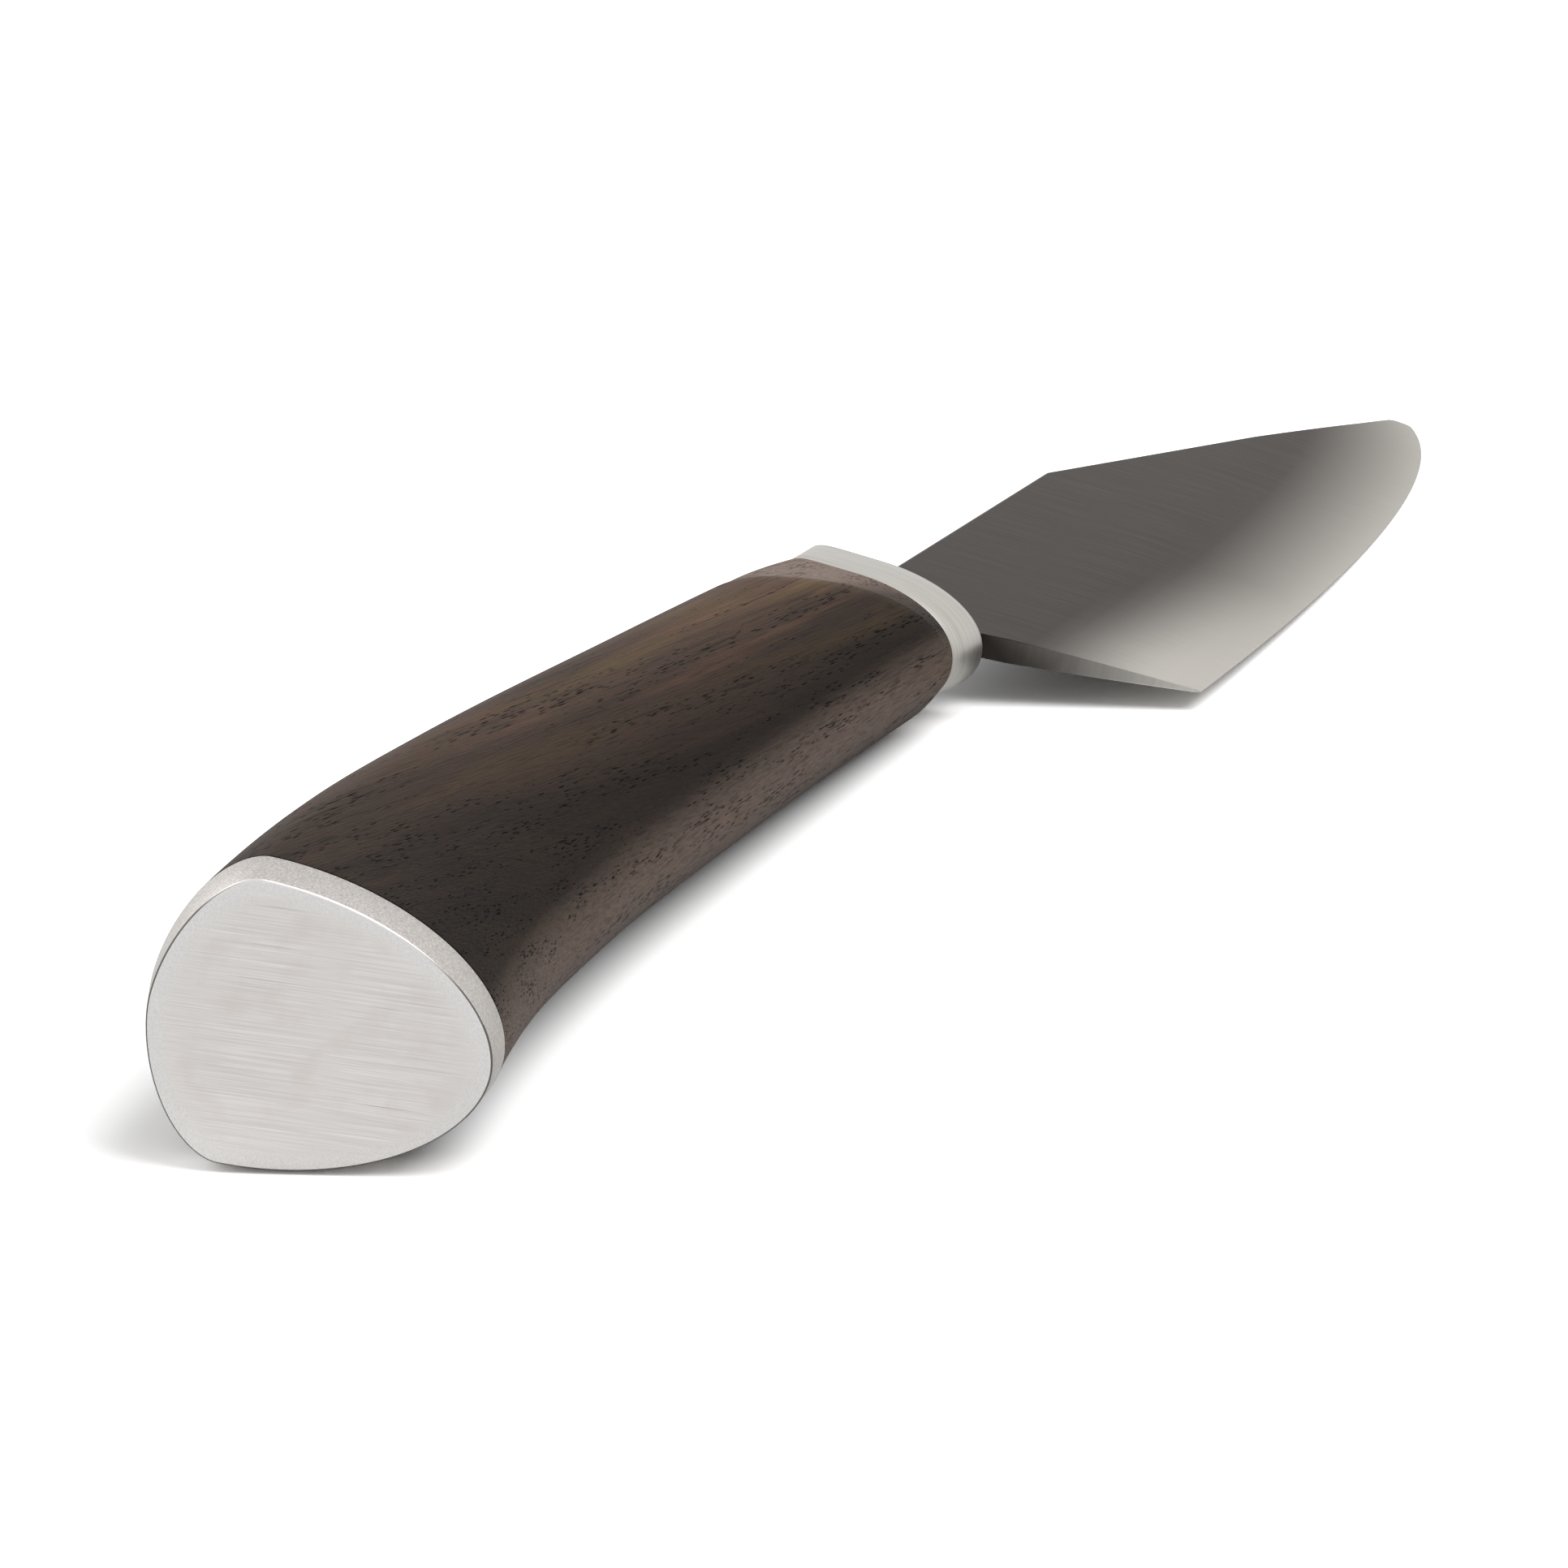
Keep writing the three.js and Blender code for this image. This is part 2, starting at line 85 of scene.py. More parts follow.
neck_height = 10.5                 # spine to the underside of the neck
heel_lean = math.radians(15.8)     # lean of the heel from the neck forward to the edge
choil_radius = 1.2                 # fillet between the neck and the heel
tang_thickness = 1.7
tang_height = 8
tang_rear_height = 5
tang_rise = 2.5                    # middle of the tang above the handle's axis
tang_rear = 23.2                   # along X, as are the other rears, fronts and floors
thread_diameter = 4
thread_rear = 11.2
thread_front = 26.2
bar_sides = 64                     # sides of a round bar
overlap = 1                        # how far a join or a cut runs past a face
bolster_front = 113.95
neck_gap = 0.02                    # hairline between the neck and the bolster
neck_rear = bolster_front + neck_gap
heel = bolster_front + neck_length
edge_level = spine_height - blade_height


def loft(name, sections):
    """A closed body through sections of equal count: a cylinder, cut into rings that are then shaped."""
    count = len(sections[0])
    steps = len(sections) - 1
    bpy.ops.object.select_all(action="DESELECT")
    bpy.ops.mesh.primitive_cylinder_add(vertices=count, depth=steps)
    piece = bpy.context.object
    piece.name = piece.data.name = name
    bpy.ops.object.mode_set(mode="EDIT")
    bpy.ops.mesh.select_mode(type="EDGE")
    bpy.ops.mesh.select_all(action="DESELECT")
    for edge in bmesh.from_edit_mesh(piece.data).edges:
        edge.select_set(edge.verts[0].co.z * edge.verts[1].co.z < 0)
    if steps > 1:
        bpy.ops.mesh.subdivide(number_cuts=steps - 1)
    for vertex in bmesh.from_edit_mesh(piece.data).verts:
        ring = round(vertex.co.z + steps / 2)
        angle = math.atan2(vertex.co.y, vertex.co.x) - math.pi / 2
        vertex.co = sections[ring][round(angle * count / math.tau) % count]
    bmesh.update_edit_mesh(piece.data)
    bpy.ops.object.mode_set(mode="OBJECT")
    return piece


def make_active(piece):
    """Selects one piece alone, so that the next operators act on it."""
    bpy.ops.object.select_all(action="DESELECT")
    piece.select_set(True)
    bpy.context.view_layer.objects.active = piece


def carve(piece, other, operation="DIFFERENCE"):
    """Cuts another body out of a piece, or joins it on, and removes that body."""
    make_active(piece)
    boolean = piece.modifiers.new("carve", "BOOLEAN")
    boolean.operation = operation
    boolean.object = other
    bpy.ops.object.modifier_apply(modifier=boolean.name)
    bpy.data.objects.remove(other)


def put_in_place(piece, crease):
    """Turns a piece from the knife's own millimetres to its place on the table, and shades it."""
    make_active(piece)
    piece.matrix_world = knife
    bpy.ops.object.transform_apply(location=True, rotation=True, scale=True)
    bpy.ops.object.shade_smooth_by_angle(angle=math.radians(crease))


kink = Vector((heel + spine_length, spine_height))
nose = Vector((heel + blade_length - nose_radius, edge_level + nose_rise))
to_nose = nose - kink
drop_angle = math.atan2(to_nose.y, to_nose.x) + math.asin(nose_radius / to_nose.length)
drop_end = nose.x - nose_radius * math.sin(drop_angle)
edge_end = nose + nose_radius * Vector((math.sin(edge_sweep), -math.cos(edge_sweep)))
edge_bend = edge_end.x - (edge_end.y - edge_level) / math.tan(edge_sweep)


def nose_half_height(x):
    """Half the height of the round nose."""
    return math.sqrt(max(0, nose_radius ** 2 - (x - nose.x) ** 2))


def spine_at(x):
    """Level to the kink, then a straight drop into the round nose."""
    if x <= kink.x:
        return spine_height
    if x <= drop_end:
        return spine_height + (x - kink.x) * math.tan(drop_angle)
    return nose.y + nose_half_height(x)


def edge_at(x):
    """Level behind the heel, then a parabola that leaves it level and runs into the nose."""
    if x <= heel:
        return edge_level
    if x >= edge_end.x:
        return nose.y - nose_half_height(x)
    gain = heel - 2 * edge_bend + edge_end.x
    pace = 2 * (edge_bend - heel)
    share = 2 * (x - heel) / (pace + math.sqrt(pace * pace + 4 * gain * (x - heel)))
    return edge_level + share ** 2 * (edge_end.y - edge_level)


def blade_section(x):
    """Eased spine, flat cheek, swollen grind and honed edge, down one side and up the other."""
    height = spine_at(x) - edge_at(x)
    ease = min(spine_ease, cheek_share * height / 2)
    grind = min(grind_height, (1 - cheek_share) * height)
    grind_steps = 10
    hone = min(hone_height, grind / (2 * grind_steps))

    def half_thickness(level):
        share = min(1, level / grind_height)
        swollen = share * (1 + grind_bulge * (1 - share))
        return (edge_thickness + (blade_thickness - edge_thickness) * swollen) / 2

    spine_half = half_thickness(height)
    side = [
        (height, spine_half - ease),
        (height - ease_corner * ease, spine_half - ease_corner * ease),
        (height - ease, half_thickness(height - ease)),
    ]
    levels = [grind * i / grind_steps for i in range(grind_steps, 0, -1)] + [hone]
    side += [(level, half_thickness(level)) for level in levels]
    side.append((0, hone_thickness / 2))
    upper = [Vector((x, edge_at(x) + level, half)) for level, half in side]
    lower = [Vector((x, edge_at(x) + level, -half)) for level, half in reversed(side)]
    return upper + lower


def tang_section(x, height, clearance=0):
    """A rectangle on the tang's line, for the tang and its slots."""
    half_height = height / 2 + clearance
    half = (tang_thickness + 2 * clearance) / 2
    low, high = tang_rise - half_height, tang_rise + half_height
    corners = ((high, half), (low, half), (low, -half), (high, -half))
    return [Vector((x, *corner)) for corner in corners]


def bar_along_tang(diameter, rear, front):
    """A round bar on the tang's line."""
    bpy.ops.object.select_all(action="DESELECT")
    bpy.ops.mesh.primitive_cylinder_add(
        vertices=bar_sides, radius=diameter / 2, depth=front - rear,
        location=((rear + front) / 2, tang_rise, 0), rotation=(0, math.pi / 2, 0),
    )
    return bpy.context.object


def heel_space():
    """The space under the neck and behind the leaning heel, with the fillet between them."""
    clear = 5                        # how far the space runs past the blade
    fillet_steps = 10
    underside = spine_height - neck_height

    def on_heel(y):
        return heel - (y - edge_level) * math.tan(heel_lean)

    reach = choil_radius / math.tan(math.pi / 4 + heel_lean / 2)
    fillet = Vector((on_heel(underside) - reach, underside - choil_radius))
    bottom = edge_level - clear
    outline = [Vector((neck_rear - clear, bottom)), Vector((on_heel(bottom), bottom))]
    for i in range(fillet_steps + 1):
        angle = heel_lean + (math.pi / 2 - heel_lean) * i / fillet_steps
        outline.append(fillet + choil_radius * Vector((math.cos(angle), math.sin(angle))))
    outline.append(Vector((neck_rear - clear, underside)))
    return loft("heel_space", [[Vector((*point, z)) for point in outline] for z in (-clear, clear)])


heel_steps = 24
tip_steps = 40
nose_steps = 14
stations = [neck_rear] + [heel + spine_length * i / heel_steps for i in range(heel_steps)]
stations += [kink.x + (nose.x - kink.x) * i / tip_steps for i in range(tip_steps)]
stations += [nose.x + nose_radius * math.sin(nose_turn * i / nose_steps) for i in range(nose_steps + 1)]
blade = loft("knife_blade", [blade_section(x) for x in stations])
carve(blade, heel_space())
carve(blade, loft("tang", [
    tang_section(tang_rear, tang_rear_height),
    tang_section(bolster_front, tang_height),
    tang_section(bolster_front + overlap, tang_height),
]), "UNION")
carve(blade, bar_along_tang(thread_diameter, thread_rear, thread_front), "UNION")

heel_band, point_band = 14, 10.8   # how far the painted reflection's lighter band reaches above the edge
band_start, band_end = heel + 3, heel + 30   # where the band narrows from the heel's to the point's
heel_gain = 1.25                   # at the heel, the painted reflection is full before the edge
point_gain, point_fall = 0.9, 1.2  # at the point, the painted reflection's strongest share and how fast it fades


def clamp(value):
    """A value held between 0 and 1."""
    return min(1, max(0, value))


# Painted reflection on the blade: 0 on the dark cheeks, rising towards 1 near the edge, where the lighter
# colour stands for the white table's reflection.
painted_reflection = blade.data.attributes.new("painted_reflection", "FLOAT", "POINT")
for vertex in blade.data.vertices:
    x, y, _ = vertex.co
    towards_point = clamp((x - band_start) / (band_end - band_start))
    band = heel_band + (point_band - heel_band) * towards_point
    nearness = clamp(1 - (y - edge_at(x)) / band)
    early = clamp(heel_gain * nearness)
    at_heel = early ** 2 * (3 - 2 * early)
    at_point = point_gain * nearness ** point_fall
    painted_reflection.data[vertex.index].value = at_heel + (at_point - at_heel) * towards_point


def linear(hex_colour):
    """The linear colour of an sRGB hex value."""
    channels = [int(hex_colour[i:i + 2], 16) / 255 for i in (1, 3, 5)]
    return [
        value / 12.92 if value <= 0.04045 else ((value + 0.055) / 1.055) ** 2.4 for value in channels
    ] + [1]


def connect(node, inputs):
    """Sets a node's inputs to values, or links them to sockets or to other nodes' first outputs."""
    for name, value in inputs.items():
        if isinstance(value, bpy.types.Node):
            value = value.outputs[0]
        if isinstance(value, bpy.types.NodeSocket):
            node.id_data.links.new(value, node.inputs[name])
        else:
            node.inputs[name].default_value = value


def add(tree, kind, settings, inputs):
    """Adds a node with its settings and inputs."""
    node = tree.nodes.new(kind)
    for name, value in settings.items():
        setattr(node, name, value)
    connect(node, inputs)
    return node


def start_material(name):
    """A new material, its node tree and shader, and the knife's own coordinates in millimetres."""
    material = bpy.data.materials.new(name)
    material.use_nodes = True
    tree = material.node_tree
    place = add(tree, "ShaderNodeTexCoord", {}, {})
    own = add(tree, "ShaderNodeMapping", {"vector_type": "TEXTURE"}, {
        "Vector": place.outputs["Object"],
        "Location": knife.to_translation(),
        "Rotation": knife.to_euler(),
        "Scale": knife.to_scale(),
    })
    return material, tree, tree.nodes["Principled BSDF"], own


def make_painted_reflection_steel():
    """Satin stainless steel: fine belt lines from spine to edge, with a painted reflection that is
    dark on the cheeks and lighter towards the edge."""
    material, tree, shader, own = start_material("satin_steel_painted_reflection")
    # Both colours are a painted reflection: dark on the cheeks, light near the edge.
    cheek_painted_reflection = linear("#35302e")
    edge_painted_reflection = linear("#c8c5bf")
    glance_tint = linear("#e6e3e0")  # dims the cheeks' sheen at a low angle
    line_width = 0.16                # belt lines, drawn coarser than the real grit so that they show
    line_length = 9
    reflection_share = add(tree, "ShaderNodeAttribute", {"attribute_name": "painted_reflection"}, {})
    lines_place = add(tree, "ShaderNodeMapping", {}, {
        "Vector": own, "Scale": (1 / line_width, 1 / line_length, 1 / line_length),
    })
    lines = add(tree, "ShaderNodeTexNoise", {}, {
        "Vector": lines_place, "Scale": 1, "Detail": 3, "Roughness": 0.6,
    })
    colour = add(tree, "ShaderNodeMixRGB", {}, {
        "Fac": reflection_share.outputs["Fac"], "Color1": cheek_painted_reflection, "Color2": edge_painted_reflection,
    })
    shade = add(tree, "ShaderNodeMapRange", {}, {
        "Value": lines, "From Min": 0.3, "From Max": 0.7, "To Min": 0.92, "To Max": 1.07,
    })
    lined = add(tree, "ShaderNodeVectorMath", {"operation": "SCALE"}, {"Vector": colour, "Scale": shade})
    roughness = add(tree, "ShaderNodeMapRange", {}, {
        "Value": lines, "From Min": 0.3, "From Max": 0.7, "To Min": 0.3, "To Max": 0.4,
    })
    bump = add(tree, "ShaderNodeBump", {}, {
        "Height": lines, "Strength": 0.1, "Distance": 0.01 * millimetre,
    })
    connect(shader, {
        "Base Color": lined, "Metallic": 1, "Roughness": roughness, "Normal": bump,
        "Specular Tint": glance_tint,
    })
    return material


blade.data.materials.append(make_painted_reflection_steel())
put_in_place(blade, crease=12)
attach(blade, "root")
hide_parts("blade")


# Bolster
# A satin steel collar with an egg-shaped section, slotted for the tang. The neck of the blade
# closes the slot at the front, and the wood butts against it at the rear.

bolster_rear = 108.63
bolster_thickness = 10.4
bolster_back = 11.5                # back above the handle's axis
bolster_belly = 3.7                # belly below the handle's axis, at the wood
bolster_flare = 0.8                # the belly's drop towards the blade
bolster_crown = 6.1                # back to the widest line
bolster_bevel = 0.6                # rounded edge round the front face
joint_bevel = 0.12                 # broken edges where two pieces meet
seat_gap = 0.05                    # resin between a piece and its seat
bolster_fullness = (8, 2.1)        # superellipse exponents of a section's halves, back and belly


def lerp(start, end, share):
    """The value at a share of the way from start to end."""
    return start + (end - start) * share


def handle_section(back, belly, thickness, crown, fullness, count=96):
    """Two half superellipses that meet at the widest line, from a back point to a belly point."""
    upward = (back - belly).normalized()
    widest = (back - belly).length - crown

    def bulge(value, exponent):
        return math.copysign(abs(value) ** (2 / exponent), value)

    section = []
    for i in range(count):
        angle = math.tau * i / count
        rise = math.cos(angle)
        exponent, reach = (fullness[0], crown) if rise >= 0 else (fullness[1], widest)
        place = belly + upward * (widest + bulge(rise, exponent) * reach)
        section.append(Vector((place.x, place.y, bulge(math.sin(angle), exponent) * thickness / 2)))
    return section


def select_end(piece, centre, normal):
    """Opens a piece for editing and selects its flat end, which holds a point and faces along a normal."""
    farthest, least_facing = 0.01, 0.99      # off the end's plane, and along its normal
    make_active(piece)
    bpy.ops.object.mode_set(mode="EDIT")
    bpy.ops.mesh.select_mode(type="FACE")
    bpy.ops.mesh.select_all(action="DESELECT")
    mesh = bmesh.from_edit_mesh(piece.data)
    mesh.normal_update()
    for face in mesh.faces:
        flush = abs((face.calc_center_median() - centre).dot(normal)) < farthest
        face.select_set(flush and face.normal.dot(normal) > least_facing)
    bmesh.update_edit_mesh(piece.data)


def bevel_rim(piece, centre, normal, offset, segments):
    """Rounds the edge round a flat end."""
    select_end(piece, centre, normal)
    bpy.ops.mesh.region_to_loop()
    bpy.ops.mesh.bevel(offset=offset, segments=segments, profile=0.5)
    bpy.ops.object.mode_set(mode="OBJECT")


bolster = loft("bolster_collar", [
    handle_section(
        Vector((bolster_rear, bolster_back)), Vector((bolster_rear, -bolster_belly)),
        bolster_thickness, bolster_crown, bolster_fullness,
    ),
    handle_section(
        Vector((bolster_front, bolster_back)), Vector((bolster_front, -bolster_belly - bolster_flare)),
        bolster_thickness, bolster_crown, bolster_fullness,
    ),
])
bevel_rim(bolster, Vector((bolster_front, 0, 0)), Vector((1, 0, 0)), bolster_bevel, segments=4)
bevel_rim(bolster, Vector((bolster_rear, 0, 0)), Vector((-1, 0, 0)), joint_bevel, segments=2)
carve(bolster, loft("slot", [
    tang_section(bolster_rear - overlap, tang_height, seat_gap),
    tang_section(bolster_front + overlap, tang_height, seat_gap),
]))


def make_satin_steel():
    """Satin stainless steel: soft lines round the collar from a fine abrasive belt."""
    material, tree, shader, own = start_material("satin_stainless_steel")
    dark_colour = linear("#b0ada7")
    light_colour = linear("#c8c5bf")
    line_width = 0.14                # drawn coarser than the real grit so that the lines show
    line_length = 7
    lines_place = add(tree, "ShaderNodeMapping", {}, {
        "Vector": own, "Scale": (1 / line_width, 1 / line_length, 1 / line_length),
    })
    lines = add(tree, "ShaderNodeTexNoise", {}, {
        "Vector": lines_place, "Scale": 1, "Detail": 3, "Roughness": 0.6,
    })
    shade = add(tree, "ShaderNodeMapRange", {}, {"Value": lines, "From Min": 0.3, "From Max": 0.7})
    colour = add(tree, "ShaderNodeMixRGB", {}, {
        "Fac": shade, "Color1": dark_colour, "Color2": light_colour,
    })
    roughness = add(tree, "ShaderNodeMapRange", {}, {"Value": shade, "To Min": 0.3, "To Max": 0.42})
    bump = add(tree, "ShaderNodeBump", {}, {
        "Height": lines, "Strength": 0.15, "Distance": 0.01 * millimetre,
    })
    connect(shader, {"Base Color": colour, "Metallic": 1, "Roughness": roughness, "Normal": bump})
    return material


satin_steel = make_satin_steel()
bolster.data.materials.append(satin_steel)
put_in_place(bolster, crease=25)
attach(bolster, "root")
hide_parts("bolster")


# Grip
# One block of dark, open-pored hardwood, shaped by hand to an egg section that drops at the pommel
# and ramps down to the bolster, then oiled. Its colour holds painted light and shade, and a painted
# sheen on the ramps and the belly. It is slotted for the tang, and bored at the pommel for the nut
# and for the end cap's two dowels.

grip_rear = 3.5                    # depth of the wood's end below the end cap's face
grip_front = bolster_rear - seat_gap
grip_length = 105
rear_share, waist_share, palm_share = 0.15, 0.33, 0.63       # places along the grip
rear_back, waist_back, palm_back, shoulder_back = 14.8, 15.2, 14.2, 13.2
rear_belly, waist_belly, palm_belly, shoulder_belly = 7.2, 5.2, 4, 3.7
waist_thickness, palm_thickness, shoulder_thickness = 18.1, 16.35, 15.1
shoulder_length = 20               # ramp to the bolster along the back
shoulder_belly_length = 1.5        # the same ramp along the belly
cap_back = 11.7                    # end cap's outline, from the middle of its face
cap_belly = 10.95
cap_width = 19.9
cap_flare = 0.4                    # growth of that outline towards the wood
pommel_crown = 6.1                 # back to the widest line, at the end cap and at the shoulder
shoulder_crown = 8.1
pommel_fullness = (1.75, 1.9)
shoulder_fullness = (2.3, 2.1)
squaring = 1.5                     # how late along the ramp its section turns square
counterbore_diameter = 9.4
counterbore_floor = 15.95
dowel_diameter = 2.5
dowel_length = 7.5
dowel_depth_in_cap = 1.9
dowel_sides = 48
dowel_offsets = (8.9, -7.5)        # from the middle of the end cap towards the back
cap_thickness = 3.3

inward = Vector((math.cos(cap_tilt), math.sin(cap_tilt)))
upward = Vector((-math.sin(cap_tilt), math.cos(cap_tilt)))


def height_on_line(points, x):
    """Smooth line through points with rising x: a cubic whose slopes are weighted from both sides."""
    final = len(points) - 1

    def rise(i):
        return (points[i + 1].y - points[i].y) / (points[i + 1].x - points[i].x)

    def slope(i):
        before = points[i].x - points[i - 1].x
        after = points[i + 1].x - points[i].x
        return (rise(i - 1) * after + rise(i) * before) / (before + after)

    start = 0
    while start < final - 1 and x > points[start + 1].x:
        start += 1
    chord = rise(start)
    slope_in = slope(start) if start > 0 else 2 * chord - slope(start + 1)
    slope_out = slope(start + 1) if start + 1 < final else 2 * chord - slope(start)
    span = points[start + 1].x - points[start].x
    share = (x - points[start].x) / span
    bend = (1 - share) * (slope_in - chord) - share * (slope_out - chord)
    return points[start].y + share * span * (chord + (1 - share) * bend)


def along_grip(share):
    """The place at a share of the grip's length, from the pommel end."""
    return grip_front - (1 - share) * grip_length


rear_middle = inward * grip_rear
rear_back_point = rear_middle + upward * (cap_back + cap_flare)
rear_belly_point = rear_middle - upward * (cap_belly + cap_flare)
shoulder_back_point = Vector((grip_front - shoulder_length, shoulder_back))
shoulder_belly_point = Vector((grip_front - shoulder_belly_length, -shoulder_belly))
back_line = [
    rear_back_point,
    Vector((along_grip(rear_share), rear_back)),
    Vector((along_grip(waist_share), waist_back)),
    Vector((along_grip(palm_share), palm_back)),
    shoulder_back_point,
    Vector((grip_front, bolster_back)),
]
belly_line = [
    rear_belly_point,
    Vector((along_grip(rear_share), -rear_belly)),
    Vector((along_grip(waist_share), -waist_belly)),
    Vector((along_grip(palm_share), -palm_belly)),
    shoulder_belly_point,
    Vector((grip_front, -bolster_belly)),
]
thickness_line = [
    Vector((0, cap_width + 2 * cap_flare)),
    Vector((waist_share, waist_thickness)),
    Vector((palm_share, palm_thickness)),
    Vector((1, shoulder_thickness)),
]


def grip_section(back_x, belly_x, thickness, crown, fullness):
    """A section that leans from a place on the belly line to one on the back line."""
    back = Vector((back_x, height_on_line(back_line, back_x)))
    belly = Vector((belly_x, height_on_line(belly_line, belly_x)))
    return handle_section(back, belly, thickness, crown, fullness)


grip_steps = 64
shoulder_steps = 20
sections = []
for i in range(grip_steps + 1):
    share = i / grip_steps
    sections.append(grip_section(
        lerp(rear_back_point.x, shoulder_back_point.x, share),
        lerp(rear_belly_point.x, shoulder_belly_point.x, share),
        height_on_line(thickness_line, share),
        lerp(pommel_crown + cap_flare / 2, shoulder_crown, share),
        [lerp(*pair, share) for pair in zip(pommel_fullness, shoulder_fullness)],
    ))
for i in range(1, shoulder_steps + 1):
    share = i / shoulder_steps
    sections.append(grip_section(
        lerp(shoulder_back_point.x, grip_front, share),
        lerp(shoulder_belly_point.x, grip_front, share),
        lerp(shoulder_thickness, bolster_thickness, share),
        lerp(shoulder_crown, bolster_crown, share),
        [lerp(*pair, share ** squaring) for pair in zip(shoulder_fullness, bolster_fullness)],
    ))
grip = loft("wood_grip", sections)
bevel_rim(grip, Vector((grip_front, 0, 0)), Vector((1, 0, 0)), joint_bevel, segments=2)
bevel_rim(grip, rear_middle.to_3d(), -inward.to_3d(), joint_bevel, segments=2)


def dowel_hole(offset):
    """A blind hole for a dowel, square to the end cap."""
    depth = cap_thickness - dowel_depth_in_cap + dowel_length / 2
    middle = upward * offset + inward * depth
    bpy.ops.object.select_all(action="DESELECT")
    bpy.ops.mesh.primitive_cylinder_add(
        vertices=dowel_sides, radius=dowel_diameter / 2 + seat_gap, depth=dowel_length + 2 * seat_gap,
        location=middle.to_3d(), rotation=(0, math.pi / 2, cap_tilt),
    )
    return bpy.context.object


carve(grip, loft("slot", [
    tang_section(tang_rear - seat_gap, tang_rear_height, seat_gap),
    tang_section(bolster_front, tang_height, seat_gap),
]))
thread_hole = thread_diameter + 2 * seat_gap
carve(grip, bar_along_tang(thread_hole, counterbore_floor - overlap, thread_front + seat_gap))
carve(grip, bar_along_tang(counterbore_diameter, -cap_thickness, counterbore_floor))
for offset in dowel_offsets:
    carve(grip, dowel_hole(offset))


# Painted light and shade on the wood, as a scale on its colour: it changes along the grip, is
# lighter up the cheek from belly to back, where the light falls, and changes up the cheek again at
# the bolster. Heights are shares of the way from the belly line to the back line.
pale_along = [Vector(point) for point in ((0, 0.55), (30, 0.95), (60, 1.25), (110, 1.9))]
painted_light_across = [Vector(point) for point in ((0, 0.7), (0.2, 0.5), (0.4, 1), (0.6, 1.8), (1, 2.2))]
pale_front = [Vector(point) for point in (
    (0, 0.5), (0.12, 0.6), (0.25, 1.9), (0.4, 2), (0.7, 1.25), (1, 1.1),
)]
front_fall = 3                     # how fast the change at the bolster fades towards the pommel
belly_painted_sheen = 0.5                 # strength of the painted sheen on the belly, a painted reflection of the white table
belly_band = 0.08                  # height at which that ends
ramp_edge = 2                      # width of the ramp's blurred rear edge
ramp_foot, ramp_rise = 0.3, 1 / 3  # height where the painted sheen on a ramp starts, and over which it grows
cheek_from, cheek_full = 0.4, 0.9  # how squarely a face looks sideways, where the painted sheen starts and is full


def share_between(value, start, end):
    """How far a value is from start to end, held between 0 and 1."""
    return clamp((value - start) / (end - start))


tone_and_painted_shade = grip.data.attributes.new("tone_and_painted_shade", "FLOAT", "POINT")
painted_sheen = grip.data.attributes.new("painted_sheen", "FLOAT", "POINT")
for vertex in grip.data.vertices:
    x, y, _ = vertex.co
    low = height_on_line(belly_line, x)
    rise = clamp((y - low) / (height_on_line(back_line, x) - low))
    near_bolster = clamp(x / grip_front) ** front_fall
    paleness = height_on_line(pale_along, x) * height_on_line(painted_light_across, rise)
    tone_and_painted_shade.data[vertex.index].value = paleness * lerp(1, height_on_line(pale_front, rise), near_bolster)
    ramp_start = lerp(shoulder_belly_point.x, shoulder_back_point.x, rise)
    on_ramp = share_between(x, ramp_start, ramp_start + ramp_edge)
    on_ramp *= share_between(rise, ramp_foot, ramp_foot + ramp_rise)
    on_ramp *= share_between(abs(vertex.normal.z), cheek_from, cheek_full)
    on_belly = belly_painted_sheen * clamp(1 - rise / belly_band)
    painted_sheen.data[vertex.index].value = max(on_ramp, on_belly)


